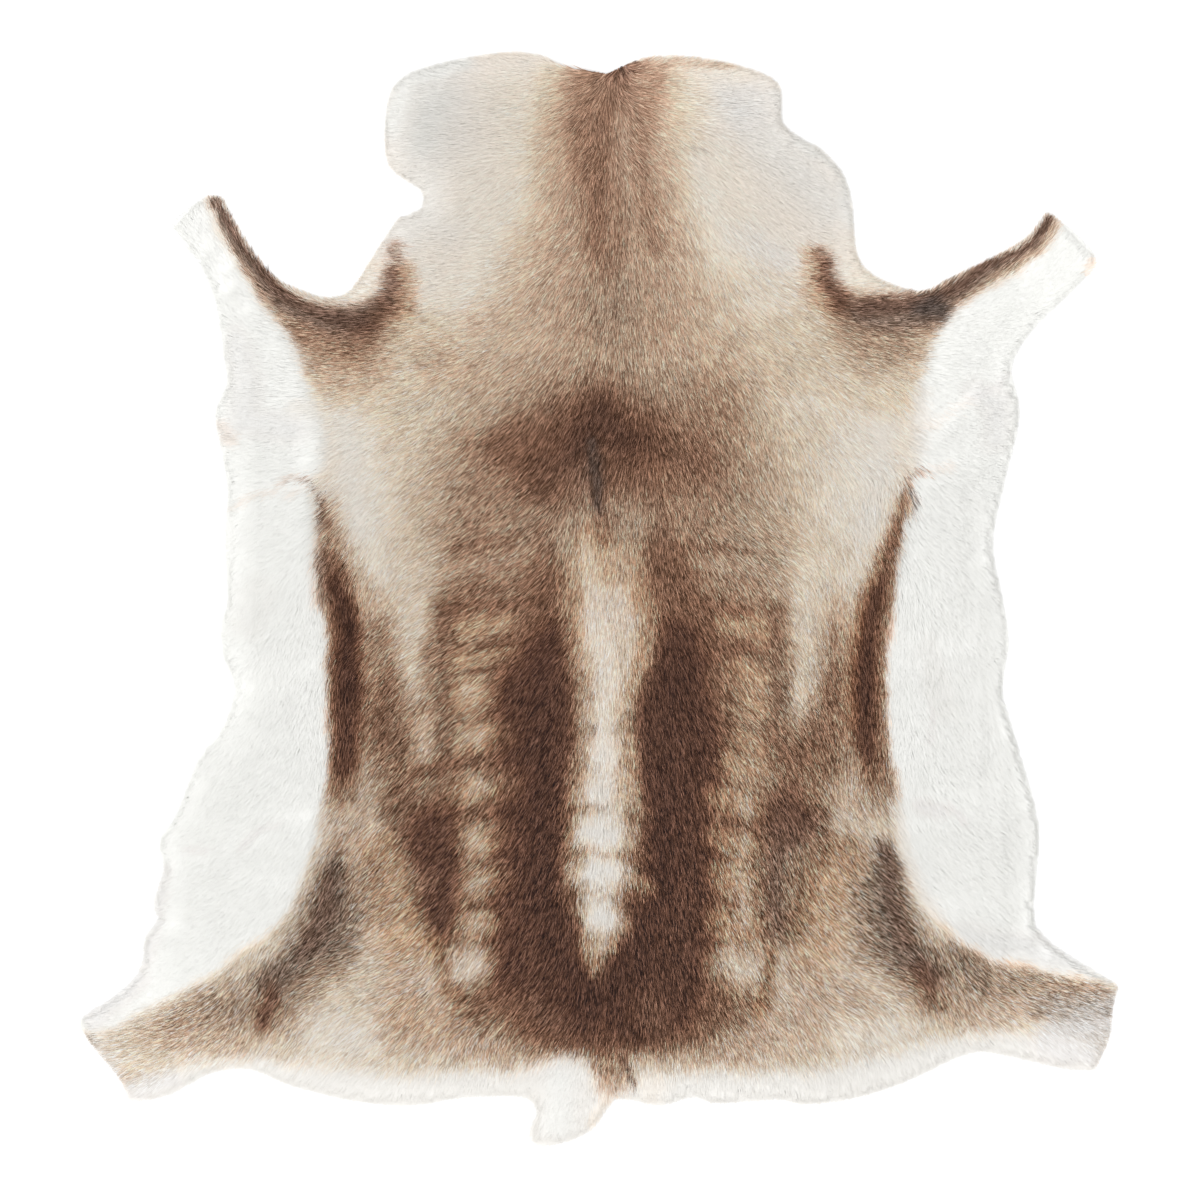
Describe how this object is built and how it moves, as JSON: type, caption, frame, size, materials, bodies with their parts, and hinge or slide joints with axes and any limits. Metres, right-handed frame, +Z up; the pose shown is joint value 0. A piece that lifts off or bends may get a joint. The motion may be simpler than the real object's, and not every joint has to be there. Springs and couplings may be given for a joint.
{
  "type": "reindeer hide",
  "caption": "Tanned reindeer hide laid flat with the hair side up, with neck, leg flaps, pale belly flaps and tail flap.",
  "frame": {"origin": "on the surface the hide lies on, under the middle of its bounding box", "axes": "+X across the hide, +Y along the back towards the neck, +Z up through the hair"},
  "size_m": [1.1406, 1.2002, 0.0249],
  "materials": {
    "coat": "matt lying hair",
    "skin": "matt suede"
  },
  "bodies": {
    "root": {"hide": "coat"}
  },
  "joints": []
}
